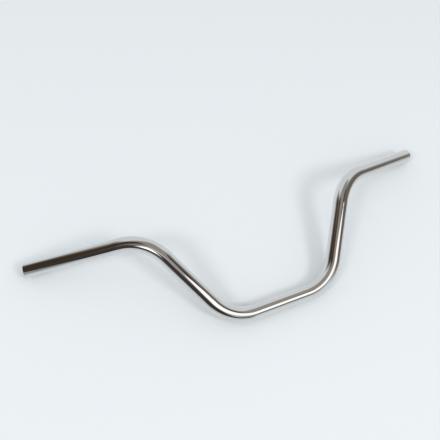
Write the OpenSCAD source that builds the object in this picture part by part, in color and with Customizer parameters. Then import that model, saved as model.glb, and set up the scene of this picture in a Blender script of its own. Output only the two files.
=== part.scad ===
// Moped handlebar: one bent and chromed steel tube, symmetric about X = 0.
// Its origin is the middle of the clamp section, on the axis of the tube.
// +X runs along the clamp section to the right grip, +Y points from it to the grips, +Z is up.
// It lies as it comes to rest: the lowest points of both end rims are level with those of the lower bends.

/* [Tube] */
// Outside diameter of the tube
tube_d = 22; // [19:0.1:25.4]
// Thickness of the tube wall
wall = 2; // [1:0.1:4]
// Width of the chamfer on the outer rim of each end
outer_break = 0.5; // [0.1:0.1:0.9]
// Width of the chamfer on the inner rim of each end
inner_break = 0.3; // [0.1:0.1:0.9]

/* [Clamp section] */
// Length of the straight middle section, where the stem clamps the tube
clamp_len = 81; // [50:1:140]

/* [Rises] */
// Length of the straight piece of each rise, between its two bends
rise_len = 87; // [20:1:200]

/* [Grips] */
// Turn of the upper bends about the rise, which swings the grips down out of the plane of the rises
grip_turn = 25; // [5:0.5:45]
// Length of the straight piece of each grip
grip_len = 137; // [90:1:200]

/* [Bends] */
// Angle of the lower bends, from the clamp section into the rises
lower_bend = 61.5; // [30:0.5:80]
// Angle of the upper bends, from the rises out into the grips
upper_bend = 60.5; // [30:0.5:80]
// Radius of all four bends, at the centre line of the tube
bend_r = 65; // [35:1:120]
// Swelling of the tube in its bends, on the radius
bend_swell = 0.1; // [0.05:0.05:0.5]

/* [Hidden] */
$fn = 96;

tube_r = tube_d / 2;
bore_r = tube_r - wall;

// Length by which each straight laps into the slightly thicker bend beside it
lap = 1;

// Directions of the right rise and grip while the rises still lie in the XY plane
rise_dir = [cos(lower_bend), sin(lower_bend), 0];
turned_up = [0, 0, 1] * cos(grip_turn) + cross(rise_dir, [0, 0, 1]) * sin(grip_turn);
grip_dir = rise_dir * cos(upper_bend) - cross(turned_up, rise_dir) * sin(upper_bend);

// Corners of the centre line and the middle of the right end face, in the same position
lower_leg = bend_r * tan(lower_bend / 2);
upper_leg = bend_r * tan(upper_bend / 2);
lower_corner = [clamp_len / 2 + lower_leg, 0, 0];
upper_corner = lower_corner + rise_dir * (lower_leg + rise_len + upper_leg);
end_middle = upper_corner + grip_dir * (upper_leg + grip_len);

// Height of a point once the tube is tipped about the clamp section
function tipped(v, tip) = v.y * sin(tip) + v.z * cos(tip);

// Height of the lowest point of the right end over the lowest point of the lower bends
function end_gap(tip) =
    let (slope = tipped(grip_dir, tip))
    tipped(end_middle, tip) - slope * outer_break - tube_r * sqrt(1 - slope * slope) + tube_r + bend_swell;

// Tip at which the right end comes down level with the lower bends, found by halving
function level_tip(low, high, steps) =
    let (mid = (low + high) / 2)
    steps == 0 ? mid :
    end_gap(mid) < 0 ? level_tip(mid, high, steps - 1) : level_tip(low, mid, steps - 1);

rest_tip = level_tip(0, 60, 40);

// Straight piece of radius r along +Z, lapped into the bends, with the rest carried on from its far end
module straight(r, length) {
    translate([0, 0, -lap])
        cylinder(r = r, h = length + 2 * lap);
    translate([0, 0, length])
        children();
}

// Bend of a tube or bore of radius r from +Z towards -X, with the rest carried on from its far end
module bend(r, angle) {
    rotate([90, 0, 0])
        translate([-bend_r, 0, 0])
            rotate_extrude(angle = angle)
                translate([bend_r, 0])
                    circle(r = r + bend_swell);
    translate([-bend_r, 0, 0])
        rotate([0, -angle, 0])
            translate([bend_r, 0, 0])
                children();
}

// Right half of the clamp section, then the rise up to its second bend, with the rise in the XY plane
module arm(r) {
    rotate([-90, 0, 0])
        rotate([0, 90, 0])
            straight(r, clamp_len / 2)
                bend(r, lower_bend)
                    straight(r, rise_len)
                        rotate([0, 0, 180 + grip_turn])
                            bend(r, upper_bend)
                                children();
}

// Both halves of a tube or bore that is drawn on the right
module both_sides() {
    children();
    mirror([1, 0, 0])
        children();
}

// Outside of the grip, cut square at its end, with the rim of the cut chamfered
module grip_outside() {
    translate([0, 0, -lap])
        cylinder(r = tube_r, h = lap + grip_len - outer_break);
    translate([0, 0, grip_len - outer_break])
        cylinder(r1 = tube_r, r2 = tube_r - outer_break, h = outer_break);
}

// Inside of the grip, run on past the cut, with the rim of the bore chamfered
module grip_bore() {
    translate([0, 0, -lap])
        cylinder(r = bore_r, h = 2 * lap + grip_len);
    translate([0, 0, grip_len - inner_break])
        cylinder(r1 = bore_r, r2 = bore_r + inner_break + lap, h = inner_break + lap);
}

module handlebar_tube() {
    color("silver")
        rotate([rest_tip, 0, 0])
            difference() {
                both_sides()
                    arm(tube_r)
                        grip_outside();
                both_sides()
                    arm(bore_r)
                        grip_bore();
            }
}

handlebar_tube();
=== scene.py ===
import bpy
import bmesh
import math
from mathutils import Matrix, Vector


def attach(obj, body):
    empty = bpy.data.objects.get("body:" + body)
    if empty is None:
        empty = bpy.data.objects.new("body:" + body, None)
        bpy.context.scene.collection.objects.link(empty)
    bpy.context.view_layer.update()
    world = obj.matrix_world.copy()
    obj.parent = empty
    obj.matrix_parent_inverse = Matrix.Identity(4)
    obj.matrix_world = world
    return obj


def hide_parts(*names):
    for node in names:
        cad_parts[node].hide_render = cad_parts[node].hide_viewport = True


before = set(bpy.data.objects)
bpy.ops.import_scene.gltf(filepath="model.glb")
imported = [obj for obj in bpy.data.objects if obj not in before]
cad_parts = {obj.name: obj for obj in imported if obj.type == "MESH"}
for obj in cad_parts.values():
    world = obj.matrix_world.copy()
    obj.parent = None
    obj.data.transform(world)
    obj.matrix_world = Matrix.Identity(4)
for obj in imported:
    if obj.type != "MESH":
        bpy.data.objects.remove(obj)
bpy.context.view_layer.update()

# Sizes of the bar in metres, as they are in the part's source
TUBE_R = 0.011
WALL = 0.002
BORE_R = TUBE_R - WALL
BEND_SWELL = 0.0001
OUTER_BREAK = 0.0005
INNER_BREAK = 0.0003
CLAMP_LEN = 0.081
RISE_LEN = 0.087
GRIP_LEN = 0.137
BEND_R = 0.065
LOWER_BEND = math.radians(61.5)
UPPER_BEND = math.radians(60.5)
GRIP_TURN = math.radians(25)

# Tip about the clamp section at which the bar comes to rest, as the source works it out
REST_TIP = math.radians(22.4385)


# Camera, placed where the photograph was taken from, with its turns about X, Y and Z in degrees

CAMERA_PLACE = (-0.2574, -0.1795, 0.7012)
CAMERA_TURNS = (29.1, -6.57, -22.46)
CAMERA_LENS = 43.32


def photo_camera():
    camera = bpy.data.objects.new("photo_camera", bpy.data.cameras.new("photo_camera"))
    bpy.context.scene.collection.objects.link(camera)
    camera.data.lens = CAMERA_LENS
    camera.data.sensor_width = 36
    camera.data.clip_start = 0.05
    camera.data.clip_end = 50
    camera.location = CAMERA_PLACE
    camera.rotation_euler = [math.radians(turn) for turn in CAMERA_TURNS]
    bpy.context.scene.camera = camera


photo_camera()


# Modelling helpers

# Points nearer to each other than this are merged
MERGE_GAP = 0.00001


def select_only(obj):
    bpy.ops.object.select_all(action="DESELECT")
    obj.select_set(True)
    bpy.context.view_layer.objects.active = obj


def edit(obj):
    select_only(obj)
    bpy.ops.object.mode_set(mode="EDIT")


def leave_edit():
    bpy.ops.object.mode_set(mode="OBJECT")


def select_edges(obj, wanted):
    """Selects, in edit mode, the edges whose two ends are both wanted."""
    bpy.ops.mesh.select_mode(type="EDGE")
    bpy.ops.mesh.select_all(action="DESELECT")
    mesh = bmesh.from_edit_mesh(obj.data)
    for edge in mesh.edges:
        if all(wanted(corner.co) for corner in edge.verts):
            edge.select_set(True)
    bmesh.update_edit_mesh(obj.data)


def merge_and_face_out():
    """Merges, in edit mode, the points that lie on each other, and turns all faces outwards."""
    bpy.ops.mesh.select_mode(type="VERT")
    bpy.ops.mesh.select_all(action="SELECT")
    bpy.ops.mesh.remove_doubles(threshold=MERGE_GAP)
    bpy.ops.mesh.normals_make_consistent(inside=False)


def turned(angle, axis):
    return Matrix.Rotation(angle, 3, axis)


# Centre line of the right half of the bar at rest: first the ways that its straights point and the axes of
# its bends, UPRIGHT for the lower one and TURNED_UP for the upper one

ALONG = Vector((1, 0, 0))
UPRIGHT = turned(REST_TIP, "X") @ Vector((0, 0, 1))
RISE = turned(REST_TIP, "X") @ (turned(LOWER_BEND, "Z") @ ALONG)
TURNED_UP = turned(GRIP_TURN, RISE) @ UPRIGHT
GRIP = turned(-UPPER_BEND, TURNED_UP) @ RISE

# Then the middles of the bends and the places where straights and bends meet

CLAMP_END = ALONG * (CLAMP_LEN / 2)
LOWER_CENTRE = CLAMP_END + UPRIGHT.cross(ALONG) * BEND_R
RISE_START = LOWER_CENTRE + turned(LOWER_BEND, UPRIGHT) @ (CLAMP_END - LOWER_CENTRE)
RISE_END = RISE_START + RISE * RISE_LEN
UPPER_CENTRE = RISE_END - TURNED_UP.cross(RISE) * BEND_R
GRIP_START = UPPER_CENTRE + turned(-UPPER_BEND, TURNED_UP) @ (RISE_END - UPPER_CENTRE)
GRIP_END = GRIP_START + GRIP * GRIP_LEN


# The bar: two rings, one for the outside of the tube and one for its bore, are drawn together along
# the straights and round the bends, joined at the cut end, and mirrored to the left

RING_SIDES = 96
STRAIGHT_STEP = 0.012
BEND_STEP = math.radians(1.5)

# Each straight swells into its bend over this many steps of this length
EASE_STEPS = 5
EASE_STEP = 0.002
EASE_LEN = EASE_STEP * EASE_STEPS

# How far a point may lie from the plane of the cut and from the circle of its rim
CUT_SLACK = 0.00002
RIM_SLACK = 0.00005

SMOOTH_ANGLE = math.radians(35)


def resize_rings(middle, factor):
    bpy.ops.transform.resize(value=(factor, factor, factor), center_override=middle)


def extrude(way):
    bpy.ops.mesh.extrude_region_move(TRANSFORM_OT_translate={"value": way})


def start_rings():
    """Outside and bore rings about the origin, square to X."""
    bpy.ops.object.select_all(action="DESELECT")
    bpy.ops.mesh.primitive_circle_add(
        vertices=RING_SIDES, radius=TUBE_R, fill_type="NOTHING",
        location=(0, 0, 0), rotation=(0, math.pi / 2, 0),
    )
    bar = bpy.context.active_object
    bar.name = "bent_bar"
    bpy.ops.object.transform_apply(location=True, rotation=True, scale=True)
    edit(bar)
    bpy.ops.mesh.select_all(action="SELECT")
    bpy.ops.mesh.duplicate()
    resize_rings((0, 0, 0), BORE_R / TUBE_R)
    bpy.ops.object.vertex_group_assign_new()
    bar.vertex_groups.active.name = "bore"
    bpy.ops.mesh.select_all(action="SELECT")
    return bar


def extrude_straight(way, length):
    steps = max(1, round(length / STRAIGHT_STEP))
    for _ in range(steps):
        extrude(way * (length / steps))


def swollen(share):
    """Size of the tube, over its plain size, at this share of the way into the swelling."""
    return 1 + BEND_SWELL / TUBE_R * (3 * share ** 2 - 2 * share ** 3)


def extrude_swelling(start, way, into_bend):
    """Draws the last or first bit of a straight, over which the tube swells into its bend or out of it."""
    for step in range(1, EASE_STEPS + 1):
        before, after = (step - 1) / EASE_STEPS, step / EASE_STEPS
        if not into_bend:
            before, after = 1 - before, 1 - after
        extrude(way * EASE_STEP)
        resize_rings(start + way * (EASE_STEP * step), swollen(after) / swollen(before))


def spin_round(centre, axis, angle):
    # A spin run without a window turns the other way
    bpy.ops.mesh.spin(steps=round(angle / BEND_STEP), angle=-angle, center=centre, axis=axis)


def bend_bar():
    """Draws the rings from the middle of the clamp section to the right end."""
    bar = start_rings()
    extrude_straight(ALONG, CLAMP_LEN / 2 - EASE_LEN)
    extrude_swelling(CLAMP_END - ALONG * EASE_LEN, ALONG, into_bend=True)
    spin_round(LOWER_CENTRE, UPRIGHT, LOWER_BEND)
    extrude_swelling(RISE_START, RISE, into_bend=False)
    extrude_straight(RISE, RISE_LEN - 2 * EASE_LEN)
    extrude_swelling(RISE_END - RISE * EASE_LEN, RISE, into_bend=True)
    spin_round(UPPER_CENTRE, -TURNED_UP, UPPER_BEND)
    extrude_swelling(GRIP_START, GRIP, into_bend=False)
    extrude_straight(GRIP, GRIP_LEN - EASE_LEN)
    leave_edit()
    return bar


def select_rim(bar, radius):
    """Selects, in edit mode, the ring of this radius round the right end of the centre line."""
    def on_rim(place):
        depth = (place - GRIP_END).dot(GRIP)
        from_axis = (place - GRIP_END - GRIP * depth).length
        return abs(depth) < CUT_SLACK and abs(from_axis - radius) < RIM_SLACK
    select_edges(bar, on_rim)


def close_cut(bar):
    """Makes the face of the square cut: the outer rim is drawn in to the bore's and merged with it."""
    edit(bar)
    select_rim(bar, TUBE_R)
    extrude((0, 0, 0))
    resize_rings(GRIP_END, BORE_R / TUBE_R)
    merge_and_face_out()
    leave_edit()


def break_rims(bar):
    """Rounds the outer and the inner rim of the square cut."""
    for radius, width in ((TUBE_R, OUTER_BREAK), (BORE_R, INNER_BREAK)):
        edit(bar)
        select_rim(bar, radius)
        bpy.ops.mesh.bevel(offset=width, segments=3, profile=0.5, affect="EDGES")
        leave_edit()


def mirror_left(bar):
    select_only(bar)
    mirror = bar.modifiers.new("left_half", "MIRROR")
    mirror.use_axis = (True, False, False)
    mirror.use_mirror_merge = True
    mirror.merge_threshold = MERGE_GAP
    bpy.ops.object.modifier_apply(modifier=mirror.name)
    edit(bar)
    merge_and_face_out()
    leave_edit()


def smooth_shading(bar):
    """Smooth round the tube, with the straights and the cut faces flat up to the rounding of the rims."""
    select_only(bar)
    bpy.ops.object.shade_smooth_by_angle(angle=SMOOTH_ANGLE)
    even = bar.modifiers.new("even_shading", "WEIGHTED_NORMAL")
    even.mode = "FACE_AREA"
    even.keep_sharp = True
    bpy.ops.object.modifier_apply(modifier=even.name)


# Length along the tube, which the finishes follow

LENGTH_TO_RISE = CLAMP_LEN / 2 + BEND_R * LOWER_BEND
LENGTH_TO_GRIP = LENGTH_TO_RISE + RISE_LEN + BEND_R * UPPER_BEND
LENGTH_TO_END = LENGTH_TO_GRIP + GRIP_LEN


def length_round(place, centre, start, way):
    """Length of the centre line from the start of a bend, where it points this way, to beside the place."""
    outward = (start - centre).normalized()
    from_centre = place - centre
    return BEND_R * math.atan2(from_centre.dot(way), from_centre.dot(outward))


def length_to(place):
    """Length of the centre line from the middle of the clamp section to beside a place on the right."""
    if place.x < CLAMP_END.x:
        return place.x
    if (place - RISE_START).dot(RISE) < 0:
        return CLAMP_LEN / 2 + length_round(place, LOWER_CENTRE, CLAMP_END, ALONG)
    if (place - RISE_END).dot(RISE) < 0:
        return LENGTH_TO_RISE + (place - RISE_START).dot(RISE)
    if (place - GRIP_START).dot(GRIP) < 0:
        return LENGTH_TO_RISE + RISE_LEN + length_round(place, UPPER_CENTRE, RISE_END, RISE)
    return LENGTH_TO_GRIP + (place - GRIP_START).dot(GRIP)


def measure_along(bar):
    """Keeps, for each point, how far along the tube it lies from the middle of the clamp section."""
    lengths = [length_to(Vector((abs(point.co.x), *point.co.yz))) for point in bar.data.vertices]
    along = bar.data.attributes.new("along_tube", "FLOAT", "POINT")
    along.data.foreach_set("value", lengths)


# Finishes

CHROME = (0.785, 0.79, 0.79)
HAZY_CHROME = (0.755, 0.755, 0.75)
BARE_STEEL = (0.24, 0.23, 0.22)
BROWN_BLOOM = (0.13, 0.085, 0.055)
THIN_CHROME = (0.46, 0.455, 0.45)

# The chrome reaches this far into the bore, and covers it fully this near to the end
CHROME_REACH = 0.03
CHROME_FULL = 0.004


def new_material(name):
    material = bpy.data.materials.new(name)
    material.use_nodes = True
    return material, material.node_tree, material.node_tree.nodes["Principled BSDF"]


def feed(tree, socket, value):
    """Links the socket to another node's output, or sets it to a value."""
    if isinstance(value, bpy.types.NodeSocket):
        tree.links.new(value, socket)
    else:
        socket.default_value = value


def object_place(tree):
    return tree.nodes.new("ShaderNodeTexCoord").outputs["Object"]


def length_along_tube(tree):
    node = tree.nodes.new("ShaderNodeAttribute")
    node.attribute_name = "along_tube"
    return node.outputs["Fac"]


def noise(tree, dimensions="3D", **settings):
    """Noise with its sockets set or linked by name."""
    node = tree.nodes.new("ShaderNodeTexNoise")
    node.noise_dimensions = dimensions
    for name, value in settings.items():
        feed(tree, node.inputs[name.title()], value)
    return node.outputs["Fac"]


def spread(tree, value, low, high, to_low=0, to_high=1):
    """Maps low to to_low and high to to_high, evenly between them and held beyond them."""
    node = tree.nodes.new("ShaderNodeMapRange")
    sockets = ("Value", "From Min", "From Max", "To Min", "To Max")
    for name, number in zip(sockets, (value, low, high, to_low, to_high)):
        feed(tree, node.inputs[name], number)
    return node.outputs["Result"]


def reckon(tree, operation, first, second=0.0):
    node = tree.nodes.new("ShaderNodeMath")
    node.operation = operation
    feed(tree, node.inputs[0], first)
    feed(tree, node.inputs[1], second)
    return node.outputs[0]


def bump(tree, height, depth, strength, under=None):
    node = tree.nodes.new("ShaderNodeBump")
    node.inputs["Distance"].default_value = depth
    node.inputs["Strength"].default_value = strength
    tree.links.new(height, node.inputs["Height"])
    if under:
        tree.links.new(under, node.inputs["Normal"])
    return node.outputs["Normal"]


def mixed(tree, share, first, second):
    """Colour that goes from the first, at a share of 0, to the second, at a share of 1."""
    node = tree.nodes.new("ShaderNodeMix")
    node.data_type = "RGBA"
    tree.links.new(share, node.inputs["Factor"])
    for name, colour in (("A", first), ("B", second)):
        feed(tree, node.inputs[name], (*colour, 1) if isinstance(colour, tuple) else colour)
    return node.outputs["Result"]


def chrome_finish():
    """Bright chrome over the slight waver of bent tube, with buffing lines round it and faint haze."""
    finish, tree, shader = new_material("bright_chrome")
    place = object_place(tree)
    waver = noise(tree, vector=place, scale=42, detail=1)
    haze = noise(tree, vector=place, scale=28, detail=5, roughness=0.62)
    lines = noise(tree, "1D", w=length_along_tube(tree), scale=2600, detail=3, roughness=0.7)

    shade = mixed(tree, spread(tree, haze, low=0.35, high=0.7), CHROME, HAZY_CHROME)
    tree.links.new(shade, shader.inputs["Base Color"])
    shader.inputs["Metallic"].default_value = 1
    roughness = spread(tree, haze, low=0.4, high=0.75, to_low=0.03, to_high=0.085)
    tree.links.new(roughness, shader.inputs["Roughness"])
    wavy = bump(tree, waver, depth=0.00035, strength=0.25)
    buffed = bump(tree, lines, depth=0.000004, strength=0.25, under=wavy)
    tree.links.new(buffed, shader.inputs["Normal"])
    return finish


def bore_finish():
    """Bare drawn steel inside the tube, with the chrome thinning out into it and a thin brown bloom."""
    finish, tree, shader = new_material("drawn_steel_bore")
    bloom = noise(tree, vector=object_place(tree), scale=140, detail=6, roughness=0.65)
    bare = mixed(tree, spread(tree, bloom, low=0.42, high=0.66), BARE_STEEL, BROWN_BLOOM)
    plated = spread(
        tree, length_along_tube(tree), low=LENGTH_TO_END - CHROME_REACH, high=LENGTH_TO_END - CHROME_FULL
    )
    tree.links.new(mixed(tree, plated, bare, THIN_CHROME), shader.inputs["Base Color"])
    shader.inputs["Metallic"].default_value = 1
    roughness = spread(tree, bloom, low=0.3, high=0.7, to_low=0.32, to_high=0.6)
    tree.links.new(roughness, shader.inputs["Roughness"])
    tree.links.new(bump(tree, bloom, depth=0.0002, strength=0.4), shader.inputs["Normal"])
    return finish


def paint_bar(bar):
    """Chrome outside and drawn steel in the bore, while these are still two separate shells."""
    bar.data.materials.append(chrome_finish())
    bar.data.materials.append(bore_finish())
    edit(bar)
    bpy.ops.mesh.select_mode(type="VERT")
    bpy.ops.mesh.select_all(action="DESELECT")
    bpy.ops.object.vertex_group_select()
    bar.active_material_index = 1
    bpy.ops.object.material_slot_assign()
    leave_edit()
    bar.vertex_groups.clear()


bar = bend_bar()
paint_bar(bar)
close_cut(bar)
break_rims(bar)
mirror_left(bar)
measure_along(bar)
smooth_shading(bar)
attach(bar, "root")
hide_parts("handlebar_tube")


# Plain pale floor, level with the lowest points of the lower bends

FLOOR_SIZE = 30
FLOOR_Z = -(TUBE_R + BEND_SWELL)
PALE_FLOOR = (0.835, 0.862, 0.872)
FLOOR_ROUGHNESS = 0.12
MIRRORED_GLOSS = 0.5


def lay_floor():
    """Matte as it is seen directly, and glossy in what the chrome mirrors of it."""
    bpy.ops.object.select_all(action="DESELECT")
    bpy.ops.mesh.primitive_plane_add(size=FLOOR_SIZE, location=(0, 0, FLOOR_Z))
    floor = bpy.context.active_object
    floor.name = "pale_floor"
    bpy.ops.object.transform_apply(location=True, rotation=True, scale=True)
    paint, tree, shader = new_material("pale_floor")
    shader.inputs["Base Color"].default_value = (*PALE_FLOOR, 1)
    shader.inputs["Roughness"].default_value = FLOOR_ROUGHNESS
    mirrored = tree.nodes.new("ShaderNodeLightPath").outputs["Is Glossy Ray"]
    gloss = reckon(tree, "MULTIPLY", mirrored, MIRRORED_GLOSS)
    tree.links.new(gloss, shader.inputs["Specular IOR Level"])
    floor.data.materials.append(paint)


lay_floor()


# Light: a soft key lamp behind the camera on its right, a weaker one on its left, and a pale room all round

LOOK_AT = Vector((0, 0.08, 0))
PALE_ROOM = (0.715, 0.742, 0.757)


def way_to(azimuth, elevation):
    """Direction given by its compass angle from +Y towards +X and its angle over the floor, in degrees."""
    around, over = math.radians(azimuth), math.radians(elevation)
    return Vector((math.sin(around) * math.cos(over), math.cos(around) * math.cos(over), math.sin(over)))


def soft_lamp(name, azimuth, elevation, distance, size, watts):
    """A lamp that lights the floor round the bar; the chrome does not mirror it, and the glowing cards
    below paint its highlight and the room's reflections in its place.
    """
    way = way_to(azimuth, elevation)
    lamp = bpy.data.lights.new(name, "AREA")
    lamp.shape = "RECTANGLE"
    lamp.size, lamp.size_y = size
    lamp.energy = watts
    holder = bpy.data.objects.new(name, lamp)
    bpy.context.scene.collection.objects.link(holder)
    holder.location = LOOK_AT + way * distance
    holder.rotation_mode = "QUATERNION"
    holder.rotation_quaternion = (-way).to_track_quat("-Z", "Y")
    holder.visible_glossy = False


def light_room():
    world = bpy.data.worlds.new("pale_room")
    bpy.context.scene.world = world
    world.use_nodes = True
    world.node_tree.nodes["Background"].inputs["Color"].default_value = (*PALE_ROOM, 1)


soft_lamp("key_lamp", azimuth=148, elevation=48, distance=3, size=(0.8, 0.75), watts=19)
soft_lamp("side_lamp", azimuth=-106, elevation=44, distance=3, size=(0.75, 0.75), watts=15)
light_room()


# Glowing cards, no lamps, that stand round the bar and are seen in the chrome alone: they paint its
# reflections of the room, and the white ones its highlights

def reflection_card_glow(name, half_size, corner, soft, colour):
    """Glow of a card with rounded corners, squarer for a higher corner, that fades out at its edge; the
    glow is a painted reflection in the chrome.
    """
    paint, tree, shader = new_material(name)
    tree.nodes.remove(shader)
    parts = tree.nodes.new("ShaderNodeSeparateXYZ")
    tree.links.new(object_place(tree), parts.inputs["Vector"])
    shares = [
        reckon(tree, "ABSOLUTE", reckon(tree, "DIVIDE", parts.outputs[axis], half))
        for axis, half in zip("XY", half_size)
    ]
    across, upward = (reckon(tree, "POWER", share, corner) for share in shares)
    reach = reckon(tree, "POWER", reckon(tree, "ADD", across, upward), 1 / corner)
    inside = spread(tree, reach, low=1 - soft, high=1 + soft, to_low=1, to_high=0)
    inside.node.interpolation_type = "SMOOTHSTEP"

    clear = tree.nodes.new("ShaderNodeBsdfTransparent")
    glow = tree.nodes.new("ShaderNodeEmission")
    glow.inputs["Color"].default_value = (*colour, 1)
    blend = tree.nodes.new("ShaderNodeMixShader")
    for socket, value in zip(blend.inputs, (inside, clear.outputs[0], glow.outputs[0])):
        tree.links.new(value, socket)
    tree.links.new(blend.outputs[0], tree.nodes["Material Output"].inputs["Surface"])
    return paint


def stand_reflection_card(name, azimuth, elevation, distance, slant, half_size, corner, soft, colour):
    """A glowing card that faces the bar, slanted by so many degrees, seen by glossy rays only, which paints
    a reflection in the chrome.
    """
    way = way_to(azimuth, elevation)
    across = way.cross(Vector((0, 0, 1))).normalized()
    upward = across.cross(way)
    lean = math.radians(slant)
    wide = across * math.cos(lean) + upward * math.sin(lean)
    tall = upward * math.cos(lean) - across * math.sin(lean)
    bpy.ops.object.select_all(action="DESELECT")
    bpy.ops.mesh.primitive_plane_add(size=2)
    card = bpy.context.active_object
    card.name = name
    # The sheet reaches as far as the soft edge of its glow
    card.scale = (half_size[0] * (1 + soft), half_size[1] * (1 + soft), 1)
    bpy.ops.object.transform_apply(location=False, rotation=False, scale=True)
    facing = Matrix((wide, tall, wide.cross(tall))).transposed().to_4x4()
    card.matrix_world = Matrix.Translation(LOOK_AT + way * distance) @ facing
    card.data.materials.append(reflection_card_glow(name, half_size, corner, soft, colour))
    card.visible_camera = False
    card.visible_diffuse = False
    card.visible_shadow = False
    card.visible_transmission = False


# Painted reflections: glowing cards whose dark, grey and brown glow is what the chrome mirrors of the room
stand_reflection_card("painted_reflection_grey_above", azimuth=85, elevation=83, distance=2.1, slant=-9,
           half_size=(1.25, 1.08), corner=7, soft=0.24, colour=(0.32, 0.29, 0.26))
stand_reflection_card("dark_card_left", azimuth=-75, elevation=38, distance=1.8, slant=-36,
           half_size=(1.38, 0.77), corner=8, soft=0.58, colour=(0.052, 0.034, 0.02))
stand_reflection_card("painted_reflection_dark_near", azimuth=-136, elevation=24, distance=1.65, slant=-6,
           half_size=(2.18, 0.61), corner=5.5, soft=0.09, colour=(0.045, 0.04, 0.037))
stand_reflection_card("brown_card_upper_left", azimuth=-78, elevation=71, distance=2.2, slant=-2,
           half_size=(0.47, 0.64), corner=4.5, soft=0.1, colour=(0.1, 0.072, 0.06))
stand_reflection_card("brown_card_right", azimuth=106, elevation=25, distance=1.7, slant=3,
           half_size=(0.72, 1.14), corner=3.5, soft=0.5, colour=(0.16, 0.14, 0.11))
stand_reflection_card("grey_card_right", azimuth=156, elevation=36, distance=1.75, slant=8,
           half_size=(1.05, 0.54), corner=4, soft=0.06, colour=(0.52, 0.55, 0.555))
# Painted highlights: white cards that glow brighter than white, and are no lamps, stand where the chrome
# shows the lamps' highlights
stand_reflection_card("painted_highlight_key", azimuth=156, elevation=53, distance=0.7, slant=8,
           half_size=(0.38, 0.175), corner=2.1, soft=0.05, colour=(1.3, 1.27, 1.22))
stand_reflection_card("white_card_left", azimuth=-129, elevation=39.5, distance=1.3, slant=-2,
           half_size=(0.06, 0.24), corner=1.7, soft=0.17, colour=(2.05, 2.0, 1.93))
stand_reflection_card("painted_reflection_dark_below_key", azimuth=180, elevation=46, distance=1.05, slant=19,
           half_size=(0.68, 0.093), corner=3.5, soft=0.23, colour=(0.075, 0.05, 0.05))
stand_reflection_card("painted_reflection_grey_by_grip", azimuth=-104, elevation=6.5, distance=0.6, slant=10,
           half_size=(0.19, 0.075), corner=4, soft=0.25, colour=(0.32, 0.33, 0.32))
stand_reflection_card("painted_reflection_dark_above_key", azimuth=119, elevation=60.5, distance=1.65, slant=6,
           half_size=(0.44, 0.195), corner=3, soft=0.3, colour=(0.045, 0.03, 0.024))
stand_reflection_card("painted_reflection_grey_below_key", azimuth=161, elevation=28.5, distance=0.95, slant=-4,
           half_size=(0.36, 0.085), corner=2.5, soft=0.55, colour=(0.24, 0.23, 0.225))


bpy.context.scene.view_settings.view_transform = "Standard"
